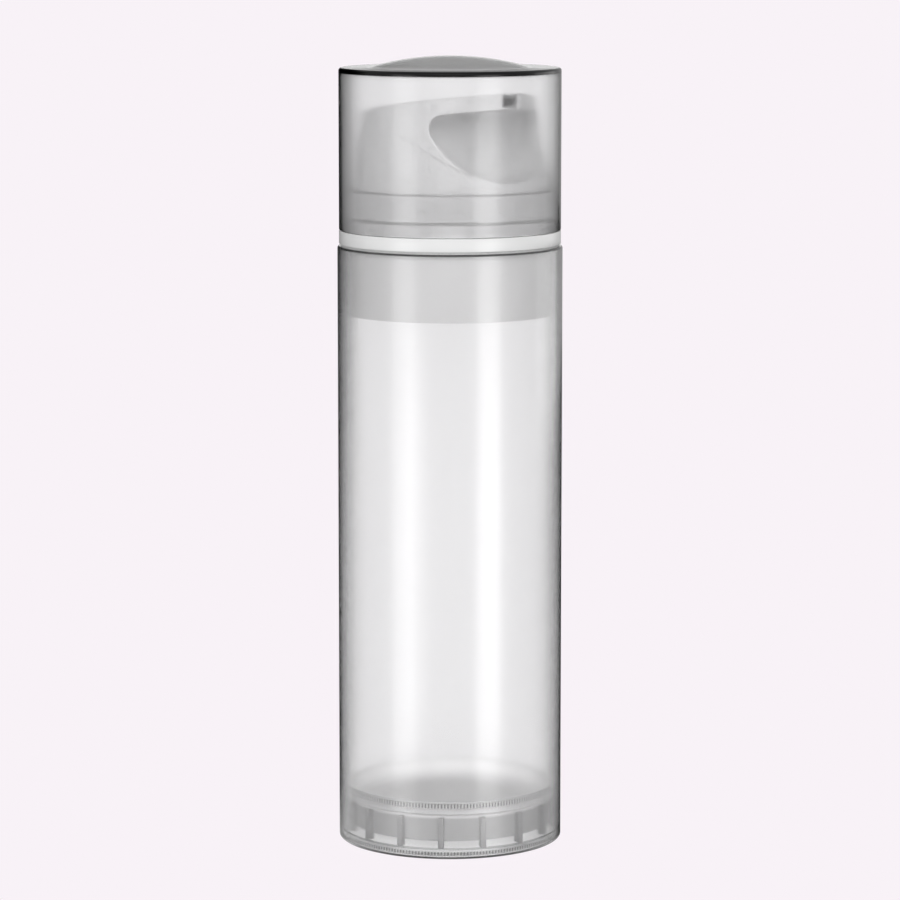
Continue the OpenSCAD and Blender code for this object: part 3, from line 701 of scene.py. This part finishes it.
cap_shape = turn_outline(cap_outline)
round_rings(cap_shape, [(cap_r, cap_z[1])], cap_round, 6)
round_rings(cap_shape, [(cap_bore_r, cap_z[1] - cap_top_t)], cap_inner_round, 3)
round_rings(cap_shape, [(cap_r, cap_z[0]), (cap_bore_r, cap_z[0])], cap_rim_round, 2)
cap = lay_out("cap_shell", cap_shape, cap_plastic)
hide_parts("overcap")
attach(cap, "cap")


# Studio. A pale floor that runs out of sight into a surround of the same tone. Two low softboxes
# draw the long highlights, a high one lights the head, and two bright and two black cards shape
# the reflections at the edges and on the dome.
pale = (0.939, 0.888, 0.930)
white_card = (0.91, 0.91, 0.91)
surround = 0.54
floor_half = 10
lamp_aim = (0, 0, 0.06)
card_reach = 0.7


def seen_directly(tree):
    """1 where the camera looks, itself or through a frosted wall, and 0 for light on the object."""
    path = tree.nodes.new("ShaderNodeLightPath")
    first = tree.nodes.new("ShaderNodeMath")
    first.operation = "LESS_THAN"
    first.inputs[1].default_value = 0.5
    clear_view = tree.nodes.new("ShaderNodeMath")
    clear_view.operation = "MULTIPLY"
    seen = tree.nodes.new("ShaderNodeMath")
    seen.operation = "MAXIMUM"
    tree.links.new(path.outputs["Diffuse Depth"], first.inputs[0])
    tree.links.new(path.outputs["Is Transmission Ray"], clear_view.inputs[0])
    tree.links.new(first.outputs[0], clear_view.inputs[1])
    tree.links.new(path.outputs["Is Camera Ray"], seen.inputs[0])
    tree.links.new(clear_view.outputs[0], seen.inputs[1])
    return seen.outputs[0]


def surround_tone(tree, target):
    """The photograph's pale tone where the camera sees it, and plain white for all else."""
    path = tree.nodes.new("ShaderNodeLightPath")
    link_mix(tree, path.outputs["Is Camera Ray"], target, white_card, pale)


floor_shape = bmesh.new()
bmesh.ops.create_grid(floor_shape, x_segments=1, y_segments=1, size=floor_half)
floor_finish = bpy.data.materials.new("floor")
floor_finish.use_nodes = True
floor_tree = floor_finish.node_tree
floor_shader = floor_tree.nodes["Principled BSDF"]
floor_output = floor_tree.nodes["Material Output"]
floor_shader.inputs["Base Color"].default_value = (*white_card, 1)
floor_shader.inputs["Roughness"].default_value = 0.9
floor_glow = floor_tree.nodes.new("ShaderNodeEmission")
surround_tone(floor_tree, floor_glow.inputs["Color"])
floor_pick = floor_tree.nodes.new("ShaderNodeMixShader")
floor_tree.links.new(seen_directly(floor_tree), floor_pick.inputs["Fac"])
floor_tree.links.new(floor_shader.outputs["BSDF"], floor_pick.inputs[1])
floor_tree.links.new(floor_glow.outputs["Emission"], floor_pick.inputs[2])
floor_tree.links.new(floor_pick.outputs["Shader"], floor_output.inputs["Surface"])
floor = lay_out("floor", floor_shape, floor_finish)
floor.visible_glossy = False
floor.visible_shadow = False

studio = bpy.data.worlds.new("studio")
studio.use_nodes = True
studio_tree = studio.node_tree
studio_light = studio_tree.nodes["Background"]
surround_tone(studio_tree, studio_light.inputs["Color"])
link_range(studio_tree, seen_directly(studio_tree), studio_light.inputs["Strength"], surround, 1.0)
bpy.context.scene.world = studio


def softbox(name, turn, place, size, power):
    """A softbox at this reach and height, turned from the camera's direction about the bottle."""
    lamp_data = bpy.data.lights.new(name, "AREA")
    lamp_data.shape = "RECTANGLE"
    lamp_data.size = size[0]
    lamp_data.size_y = size[1]
    lamp_data.energy = power
    lamp = bpy.data.objects.new(name, lamp_data)
    side = camera_turn + math.radians(turn)
    lamp.location = (place[0] * math.sin(side), -place[0] * math.cos(side), place[1])
    view = Vector(lamp_aim) - lamp.location
    lamp.rotation_euler = view.to_track_quat("-Z", "Y").to_euler()
    bpy.context.scene.collection.objects.link(lamp)
    return lamp


softbox("left_softbox", -48, (0.8, -0.05), (0.35, 0.5), 1.3).visible_diffuse = False
softbox("right_softbox", 40, (0.8, -0.05), (0.35, 0.5), 1.8).visible_diffuse = False
softbox("top_softbox", -2, (0.75, 0.55), (0.5, 0.5), 4.1).visible_glossy = False


def card(name, turn, size, height, glow):
    """An upright card that shows only in reflections, placed like the softboxes. Without a glow
    it is black."""
    finish = bpy.data.materials.new(name)
    finish.use_nodes = True
    tree = finish.node_tree
    tree.nodes.remove(tree.nodes["Principled BSDF"])
    light = add_node(tree, "ShaderNodeEmission", Color=(*white_card, 1), Strength=glow)
    tree.links.new(light.outputs["Emission"], tree.nodes["Material Output"].inputs["Surface"])
    side = camera_turn + math.radians(turn)
    place = (Matrix.Translation((card_reach * math.sin(side), -card_reach * math.cos(side), height))
             @ Matrix.Rotation(side, 4, "Z") @ Matrix.Rotation(math.radians(90), 4, "X")
             @ Matrix.Diagonal((size[0], size[1], 1, 1)))
    sheet = bmesh.new()
    bmesh.ops.create_grid(sheet, x_segments=1, y_segments=1, size=0.5, matrix=place)
    piece = lay_out(name, sheet, finish)
    piece.visible_camera = False
    piece.visible_diffuse = False
    piece.visible_transmission = False
    piece.visible_shadow = False


card("backdrop_card", 180, (0.16, 0.085), 0.1725, 1.8)
card("left_flag", -137, (1.04, 0.8), 0.2, 0)
card("right_flag", 137, (1.04, 0.4), -0.2, 0)
card("right_card", 117, (0.5, 0.3), 0.15, 1.8)
